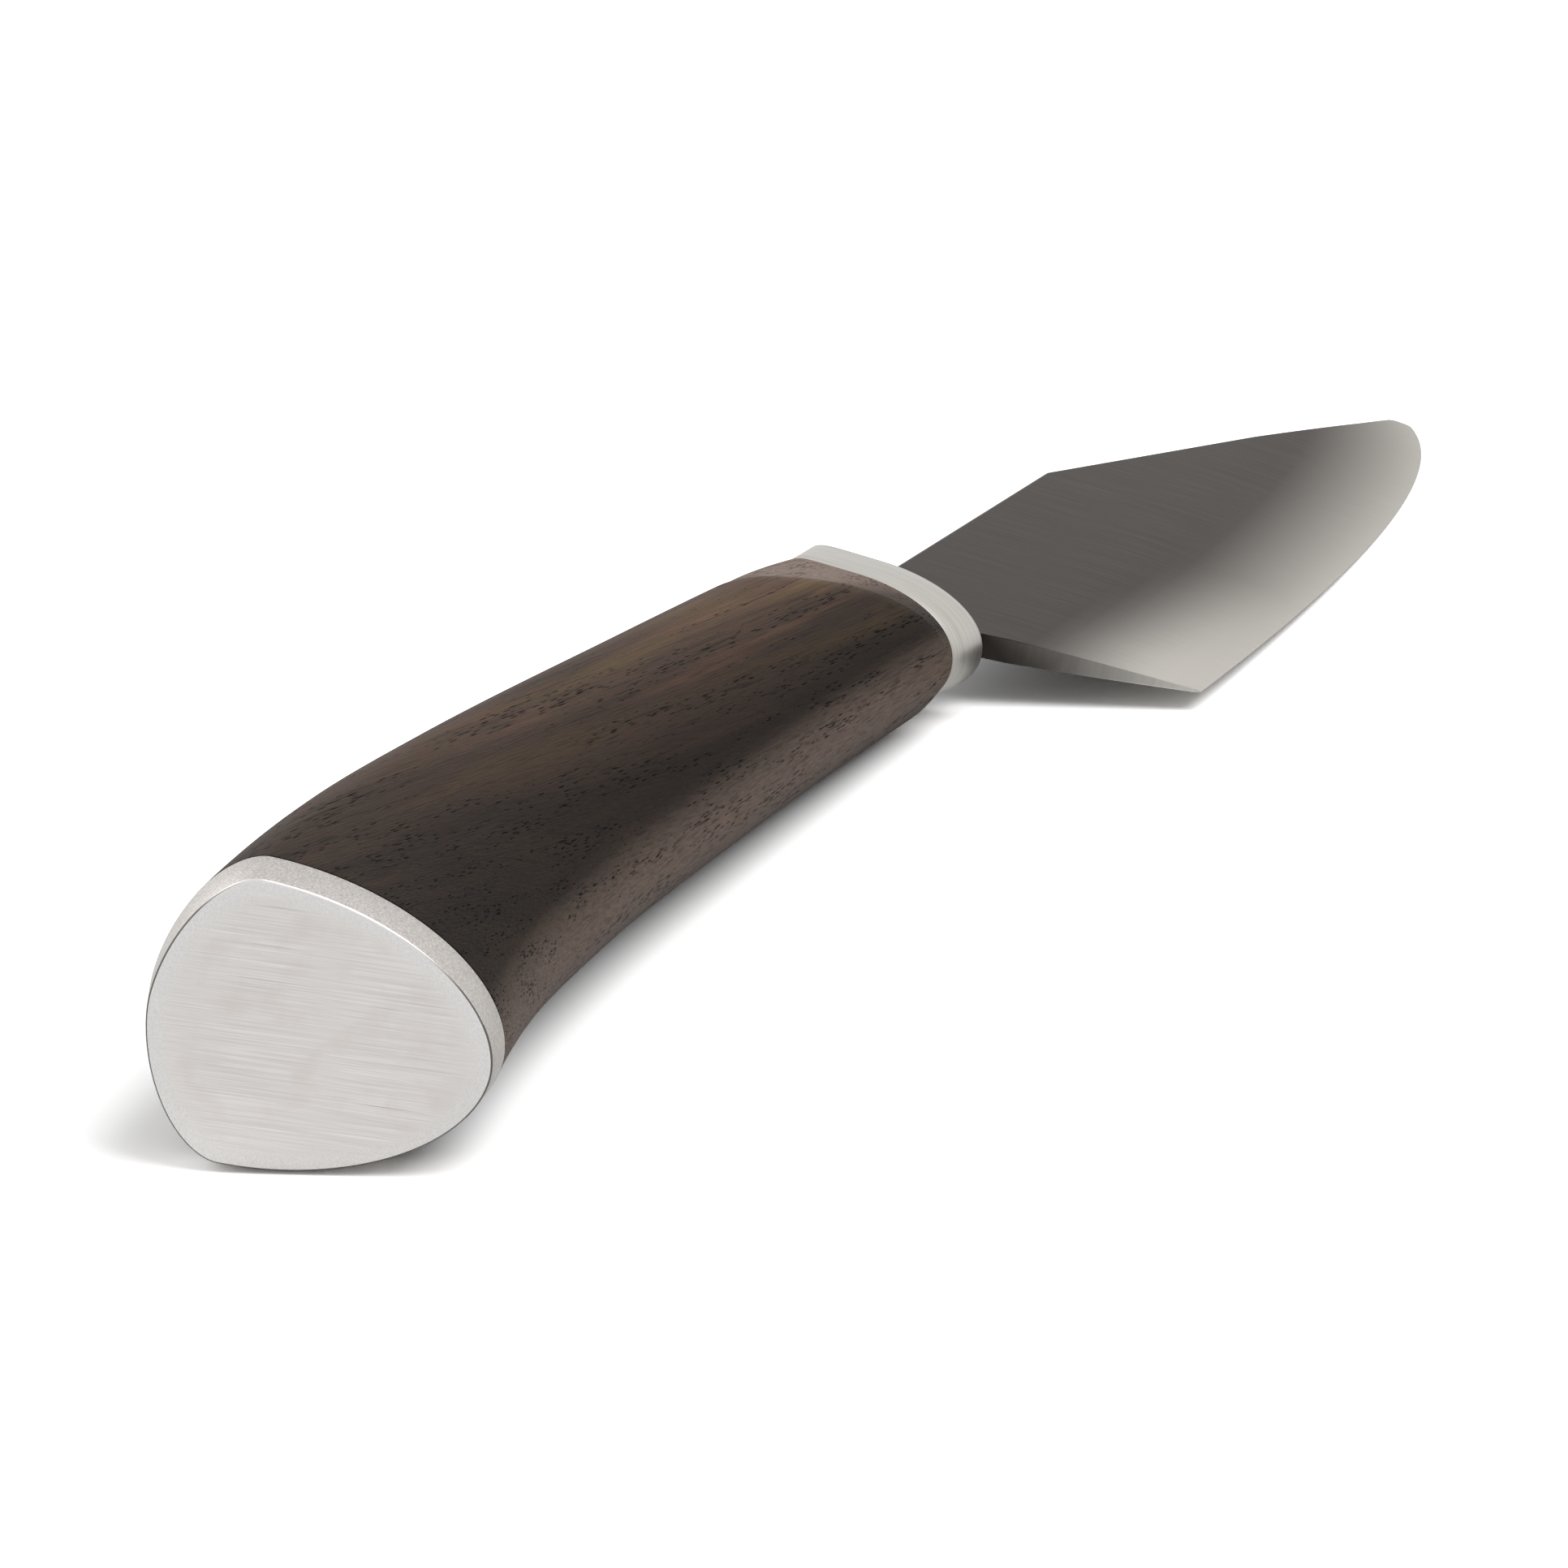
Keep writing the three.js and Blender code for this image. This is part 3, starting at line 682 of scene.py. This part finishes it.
def make_oiled_wood():
    """Dark, open-pored hardwood, sanded and oiled: long fibres, olive and reddish streaks, and open
    pores that show as short black dashes, strung along the growth rings."""
    material, tree, shader, own = start_material("oiled_open_pored_hardwood")
    deep_colour = linear("#1f1712")
    plain_colour = linear("#372a22")
    olive_colour = linear("#3a2e1f")
    red_colour = linear("#3d2c23")
    pore_colour = linear("#020202")
    painted_sheen_colour = linear("#85746a")
    sheen_tint = linear("#ffe0c9")   # the oil warms the sheen
    grain_turn = math.radians(-4.5)  # the grain's run across the handle
    figure_size = (70, 5, 5)         # sizes along and across the grain
    olive_size = (45, 3, 3)
    red_size = (35, 1.6, 1.6)
    ring_size = (80, 1.2, 1.2)
    vessel_size = (22, 0.2, 0.2)
    fibre_size = (8, 0.14, 0.14)
    pore_size = (2.2, 0.21, 0.21)
    with_grain = add(tree, "ShaderNodeMapping", {"vector_type": "TEXTURE"}, {
        "Vector": own, "Rotation": (0, 0, grain_turn),
    })

    def grain(size, detail, low, high):
        stretched = add(tree, "ShaderNodeMapping", {}, {
            "Vector": with_grain, "Scale": [1 / length for length in size],
        })
        noise = add(tree, "ShaderNodeTexNoise", {}, {
            "Vector": stretched, "Scale": 1, "Detail": detail, "Distortion": 0.2,
        })
        return add(tree, "ShaderNodeMapRange", {}, {"Value": noise, "From Min": low, "From Max": high})

    figure = grain(figure_size, detail=3, low=0.3, high=0.7)
    olive = grain(olive_size, detail=2, low=0.48, high=0.75)
    red = grain(red_size, detail=2, low=0.55, high=0.85)
    rings = grain(ring_size, detail=2, low=0.42, high=0.58)
    vessels = grain(vessel_size, detail=1, low=0.54, high=0.66)
    fibre = grain(fibre_size, detail=3, low=0.25, high=0.75)

    stretched = add(tree, "ShaderNodeMapping", {}, {
        "Vector": with_grain, "Scale": [1 / length for length in pore_size],
    })
    cells = add(tree, "ShaderNodeTexVoronoi", {}, {"Vector": stretched, "Scale": 1})
    crowding = add(tree, "ShaderNodeMath", {"operation": "MULTIPLY_ADD"}, {
        0: rings, 1: 0.24, 2: cells,
    })
    pores = add(tree, "ShaderNodeMapRange", {}, {
        "Value": crowding, "From Min": 0.22, "From Max": 0.36, "To Min": 0.75, "To Max": 0,
    })
    between_rings = add(tree, "ShaderNodeMath", {"operation": "MULTIPLY_ADD"}, {
        0: rings, 1: -0.4, 2: 0.65,
    })
    vessel_lines = add(tree, "ShaderNodeMath", {"operation": "MULTIPLY"}, {
        0: vessels, 1: between_rings,
    })

    plain = add(tree, "ShaderNodeMixRGB", {}, {
        "Fac": figure, "Color1": deep_colour, "Color2": plain_colour,
    })
    olive_patched = add(tree, "ShaderNodeMixRGB", {}, {
        "Fac": olive, "Color1": plain, "Color2": olive_colour,
    })
    patched = add(tree, "ShaderNodeMixRGB", {}, {
        "Fac": red, "Color1": olive_patched, "Color2": red_colour,
    })
    # A scale on the wood's colour that holds painted light and shade up the cheek.
    tone_and_painted_shade = add(tree, "ShaderNodeAttribute", {"attribute_name": "tone_and_painted_shade"}, {})
    paled = add(tree, "ShaderNodeVectorMath", {"operation": "SCALE"}, {
        "Vector": patched, "Scale": tone_and_painted_shade.outputs["Fac"],
    })
    # The pale colour on the ramps and the belly is a painted sheen: light reflected at a low angle.
    painted_sheen = add(tree, "ShaderNodeAttribute", {"attribute_name": "painted_sheen"}, {})
    with_painted_sheen = add(tree, "ShaderNodeMixRGB", {}, {
        "Fac": painted_sheen.outputs["Fac"], "Color1": paled, "Color2": painted_sheen_colour,
    })
    fibre_shade = add(tree, "ShaderNodeMapRange", {}, {"Value": fibre, "To Min": 0.7, "To Max": 1.35})
    streaked = add(tree, "ShaderNodeVectorMath", {"operation": "SCALE"}, {
        "Vector": with_painted_sheen, "Scale": fibre_shade,
    })
    lined = add(tree, "ShaderNodeMixRGB", {}, {
        "Fac": vessel_lines, "Color1": streaked, "Color2": pore_colour,
    })
    pored = add(tree, "ShaderNodeMixRGB", {}, {"Fac": pores, "Color1": lined, "Color2": pore_colour})
    relief = add(tree, "ShaderNodeMath", {"operation": "MULTIPLY_ADD"}, {0: pores, 1: -2, 2: fibre})
    bump = add(tree, "ShaderNodeBump", {}, {
        "Height": relief, "Strength": 0.7, "Distance": 0.06 * millimetre,
    })
    sheen = add(tree, "ShaderNodeMapRange", {}, {"Value": fibre, "To Min": 0.42, "To Max": 0.54})
    roughness = add(tree, "ShaderNodeMath", {"operation": "MAXIMUM"}, {0: sheen, 1: pores})
    connect(shader, {
        "Base Color": pored, "Roughness": roughness, "Normal": bump,
        "Specular IOR Level": 0.04, "Specular Tint": sheen_tint,
    })
    return material


grip.data.materials.append(make_oiled_wood())
put_in_place(grip, crease=20)
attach(grip, "root")
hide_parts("grip")


# Nut and washer
# A hexagon nut on the threaded tang, with a washer under it, in the counterbore at the pommel end.
# Both are zinc plated steel, turned and stamped, and the end cap covers them.

def make_zinc_plate():
    """Bright zinc plating: a bluish grey with a fine crystalline mottle."""
    material, tree, shader, own = start_material("zinc_plated_steel")
    dark_colour = linear("#8f9294")
    light_colour = linear("#b4b7b8")
    crystal_size = 0.7
    crystals = add(tree, "ShaderNodeTexVoronoi", {}, {"Vector": own, "Scale": 1 / crystal_size})
    colour = add(tree, "ShaderNodeMixRGB", {}, {
        "Fac": crystals, "Color1": dark_colour, "Color2": light_colour,
    })
    roughness = add(tree, "ShaderNodeMapRange", {}, {"Value": crystals, "To Min": 0.35, "To Max": 0.5})
    connect(shader, {"Base Color": colour, "Metallic": 1, "Roughness": roughness})
    return material


zinc_plate = make_zinc_plate()
for name in ("tang_nut", "nut_washer"):
    frame["nodes"][name].data.materials.clear()
    frame["nodes"][name].data.materials.append(zinc_plate)


# End cap's dowels
# Two plain steel pins, deep in the wood and a little way into the end cap, which hold the cap in
# line while its bed of resin sets. They keep the satin finish of ground pin stock.

for name in ("cap_dowel_back", "cap_dowel_belly"):
    frame["nodes"][name].data.materials.clear()
    frame["nodes"][name].data.materials.append(satin_steel)


# End cap
# A steel plate that closes the pommel, leaning with it. Its outer face is brushed along one line,
# with a buffed band at its edge and a burnished arris with a painted highlight, and its rim is
# blasted to a fine matt grain.

cap_rear = grip_rear - seat_gap
cap_arris = 0.16                   # burnished edge round the outer face
cap_points = 160                   # points round its outline
buffed_width = 2.2                 # band inside the arris where the brushing fades
brush_angle = math.radians(-4)     # brush lines, from the line through back and belly


def cap_section(depth, growth):
    """The end cap's own outline, grown outwards, at a depth below its outer face."""
    middle = inward * depth
    back = middle + upward * (cap_back + growth)
    belly = middle - upward * (cap_belly + growth)
    crown = pommel_crown + growth / 2
    return handle_section(back, belly, cap_width + 2 * growth, crown, pommel_fullness, cap_points)


outward = -inward.to_3d()
end_cap = loft("end_cap_plate", [
    cap_section(0, -buffed_width),
    cap_section(0, 0),
    cap_section(cap_rear, cap_flare * cap_rear / cap_thickness),
])
bevel_rim(end_cap, rear_middle.to_3d() + outward * seat_gap, -outward, joint_bevel, segments=2)
for offset in dowel_offsets:
    carve(end_cap, dowel_hole(offset))
bevel_rim(end_cap, Vector((0, 0, 0)), outward, cap_arris, segments=4)

brushing = end_cap.data.attributes.new("brushing", "FLOAT", "POINT")
inner_face = max(end_cap.data.polygons, key=lambda face: face.normal.dot(outward) * len(face.vertices))
for index in inner_face.vertices:
    brushing.data[index].value = 1


def make_brushed_steel():
    """Line-brushed stainless steel: fine straight streaks with a faint warm mottle and a few dark
    scratches, which give way to a buffed, lighter band near the edge."""
    material, tree, shader, own = start_material("line_brushed_stainless_steel")
    dark_colour = linear("#cfcbc8")
    light_colour = linear("#ebe8e6")
    warm_colour = linear("#d6cdc6")
    buffed_colour = linear("#e3e1df")
    scratch_colour = linear("#a9a4a0")
    streak_size = (1, 9, 0.11)       # through, along and across the brushing, coarser than the real grit
    scratch_size = (1, 8, 0.07)
    mottle_size = 2.2
    speckle_size = 0.14
    on_face = add(tree, "ShaderNodeMapping", {"vector_type": "TEXTURE"}, {
        "Vector": own, "Rotation": (brush_angle, 0, cap_tilt),
    })

    def brushed(size, detail, low, high):
        stretched = add(tree, "ShaderNodeMapping", {}, {
            "Vector": on_face, "Scale": [1 / length for length in size],
        })
        noise = add(tree, "ShaderNodeTexNoise", {}, {
            "Vector": stretched, "Scale": 1, "Detail": detail, "Roughness": 0.7,
        })
        return add(tree, "ShaderNodeMapRange", {}, {"Value": noise, "From Min": low, "From Max": high})

    streaks = brushed(streak_size, detail=2, low=0.25, high=0.75)
    scratches = brushed(scratch_size, detail=0, low=0.8, high=0.9)
    mottle = add(tree, "ShaderNodeTexNoise", {}, {"Vector": own, "Scale": 1 / mottle_size, "Detail": 3})
    warmth = add(tree, "ShaderNodeMapRange", {}, {
        "Value": mottle, "From Min": 0.5, "From Max": 0.75, "To Max": 0.5,
    })
    speckle = add(tree, "ShaderNodeTexNoise", {}, {"Vector": own, "Scale": 1 / speckle_size, "Detail": 3})
    depth = add(tree, "ShaderNodeAttribute", {"attribute_name": "brushing"}, {})
    ragged = add(tree, "ShaderNodeMath", {"operation": "MULTIPLY_ADD"}, {
        0: streaks, 1: 0.3, 2: depth.outputs["Fac"],
    })
    inside = add(tree, "ShaderNodeMapRange", {"interpolation_type": "SMOOTHSTEP"}, {
        "Value": ragged, "From Min": 0.2, "From Max": 1.1,
    })
    plain = add(tree, "ShaderNodeMixRGB", {}, {
        "Fac": streaks, "Color1": dark_colour, "Color2": light_colour,
    })
    warmed = add(tree, "ShaderNodeMixRGB", {}, {"Fac": warmth, "Color1": plain, "Color2": warm_colour})
    scratched = add(tree, "ShaderNodeMixRGB", {}, {
        "Fac": scratches, "Color1": warmed, "Color2": scratch_colour,
    })
    speckle_shade = add(tree, "ShaderNodeMapRange", {}, {
        "Value": speckle, "From Min": 0.3, "From Max": 0.7, "To Min": 0.9, "To Max": 1.06,
    })
    buffed = add(tree, "ShaderNodeVectorMath", {"operation": "SCALE"}, {
        "Vector": buffed_colour[:3], "Scale": speckle_shade,
    })
    colour = add(tree, "ShaderNodeMixRGB", {}, {"Fac": inside, "Color1": buffed, "Color2": scratched})
    roughness = add(tree, "ShaderNodeMapRange", {}, {"Value": streaks, "To Min": 0.3, "To Max": 0.42})
    bump = add(tree, "ShaderNodeBump", {}, {
        "Height": streaks, "Strength": 0.12, "Distance": 0.01 * millimetre,
    })
    connect(shader, {"Base Color": colour, "Metallic": 1, "Roughness": roughness, "Normal": bump})
    return material


def make_blasted_steel():
    """Fine-blasted stainless steel: an even matt grain with a faint sparkle."""
    material, tree, shader, own = start_material("fine_blasted_stainless_steel")
    dark_colour = linear("#aca7a3")
    light_colour = linear("#cfcbc7")
    grain_size = 0.16                # drawn coarser than the real blasting grit so that it shows
    grain = add(tree, "ShaderNodeTexNoise", {}, {"Vector": own, "Scale": 1 / grain_size, "Detail": 3})
    speckle = add(tree, "ShaderNodeMapRange", {}, {"Value": grain, "From Min": 0.3, "From Max": 0.7})
    colour = add(tree, "ShaderNodeMixRGB", {}, {
        "Fac": speckle, "Color1": dark_colour, "Color2": light_colour,
    })
    roughness = add(tree, "ShaderNodeMapRange", {}, {"Value": speckle, "To Min": 0.44, "To Max": 0.54})
    bump = add(tree, "ShaderNodeBump", {}, {
        "Height": grain, "Strength": 0.25, "Distance": 0.02 * millimetre,
    })
    connect(shader, {"Base Color": colour, "Metallic": 1, "Roughness": roughness, "Normal": bump})
    return material


def make_burnished_steel():
    """The arris that the brushing leaves: a thin burnished line, with a painted highlight along its
    upper side and a painted dark reflection elsewhere."""
    material, tree, shader, own = start_material("burnished_stainless_steel")
    painted_highlight_colour = linear("#d9d6d3")
    # The dark colour is a painted dark reflection on the rest of the arris.
    dark_colour = linear("#6b6763")
    painted_highlight_side = (0, -0.1, 1)       # towards the painted highlight, in the plane of the face
    bright_from, bright_to = 6, 9    # reach that way, where the painted dark reflection ends and the painted highlight starts
    on_face = add(tree, "ShaderNodeMapping", {"vector_type": "TEXTURE"}, {
        "Vector": own, "Rotation": (0, 0, cap_tilt),
    })
    reach = add(tree, "ShaderNodeVectorMath", {"operation": "DOT_PRODUCT"}, {
        0: on_face, 1: painted_highlight_side,
    })
    highlight_share = add(tree, "ShaderNodeMapRange", {}, {
        "Value": reach.outputs["Value"], "From Min": bright_from, "From Max": bright_to,
    })
    colour = add(tree, "ShaderNodeMixRGB", {}, {
        "Fac": highlight_share, "Color1": dark_colour, "Color2": painted_highlight_colour,
    })
    connect(shader, {"Base Color": colour, "Metallic": 1, "Roughness": 0.3})
    return material


face_share, arris_share = 0.98, 0.3      # how squarely face and arris look outwards, at least
end_cap.data.materials.append(make_blasted_steel())
end_cap.data.materials.append(make_burnished_steel())
end_cap.data.materials.append(make_brushed_steel())
for face in end_cap.data.polygons:
    facing = face.normal.dot(outward)
    face.material_index = int(facing > arris_share) + int(facing > face_share)
put_in_place(end_cap, crease=25)
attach(end_cap, "root")
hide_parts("end_cap")


# Table
# A plain sheet of white paper under the knife, which takes its soft shadow. The camera sees it
# brighter than it is, so that the lit sheet is plain white.

sheet_size = 6                     # metres
bpy.ops.object.select_all(action="DESELECT")
bpy.ops.mesh.primitive_plane_add(size=sheet_size)
table = bpy.context.object
table.name = "table_sheet"
paper_material, tree, shader, _ = start_material("white_paper")
paper_colour, seen_colour = 0.95, 1.75   # as light falls back from it, and as the camera sees it
ray = add(tree, "ShaderNodeLightPath", {}, {})
whiteness = add(tree, "ShaderNodeMapRange", {}, {
    "Value": ray.outputs["Is Camera Ray"], "To Min": paper_colour, "To Max": seen_colour,
})
tree.nodes.remove(shader)
paper = add(tree, "ShaderNodeBsdfDiffuse", {}, {"Color": whiteness})
connect(tree.nodes["Material Output"], {"Surface": paper})
table.data.materials.append(paper_material)


# Light
# A white room gives a third of the light. A broad softbox high on the camera's right is the main
# light, so that the shadow stays close under the knife, and a weaker one fills in low on the left.

room_light = 0.35                  # as it falls on the knife, while camera and reflections see white
world = bpy.data.worlds.new("white_room")
bpy.context.scene.world = world
world.use_nodes = True
tree = world.node_tree
ray = add(tree, "ShaderNodeLightPath", {}, {})
seen = add(tree, "ShaderNodeMath", {"operation": "MAXIMUM"}, {
    0: ray.outputs["Is Camera Ray"], 1: ray.outputs["Is Glossy Ray"],
})
seen_through = add(tree, "ShaderNodeMath", {"operation": "MAXIMUM"}, {
    0: seen, 1: ray.outputs["Is Transmission Ray"],
})
strength = add(tree, "ShaderNodeMapRange", {}, {"Value": seen_through, "To Min": room_light, "To Max": 1})
connect(tree.nodes["Background"], {"Color": linear("#ffffff"), "Strength": strength})

softbox_width = 1.3                # metres
fill_place, fill_power = Vector((0.2, 1.6, 1)), 9
main_place, main_power = Vector((-0.2, -1, 1.6)), 21
for place, power in ((fill_place, fill_power), (main_place, main_power)):
    bpy.ops.object.select_all(action="DESELECT")
    bpy.ops.object.light_add(type="AREA", location=place)
    softbox = bpy.context.object
    softbox.data.size = softbox_width
    softbox.data.energy = power
    softbox.rotation_euler = (-place).to_track_quat("-Z", "Y").to_euler()


# Camera
# Low, behind the pommel, looking along the grip towards the tip, with a long lens. Its place and turn
# were fitted to the outlines of the end cap, the grip and the blade.

camera_place = Vector((-0.48474, -0.17918, 0.15541))
camera_heading = math.radians(21.5)       # from +X towards +Y
camera_dip = math.radians(17.07)          # below the horizon
camera_roll = math.radians(-0.33)         # about the line of sight
picture_width = 1932                      # pixels
focal_length = 8510                       # pixels

level_turn = Euler((math.pi / 2 - camera_dip, 0, camera_heading - math.pi / 2)).to_matrix()
camera_turn = level_turn @ Matrix.Rotation(camera_roll, 3, "Z")
bpy.ops.object.camera_add(location=camera_place, rotation=camera_turn.to_euler())
camera = bpy.context.object
camera.data.sensor_width = 36
camera.data.lens = camera.data.sensor_width * focal_length / picture_width
camera.data.clip_start = 0.01
bpy.context.scene.camera = camera
bpy.context.scene.view_settings.view_transform = "Standard"
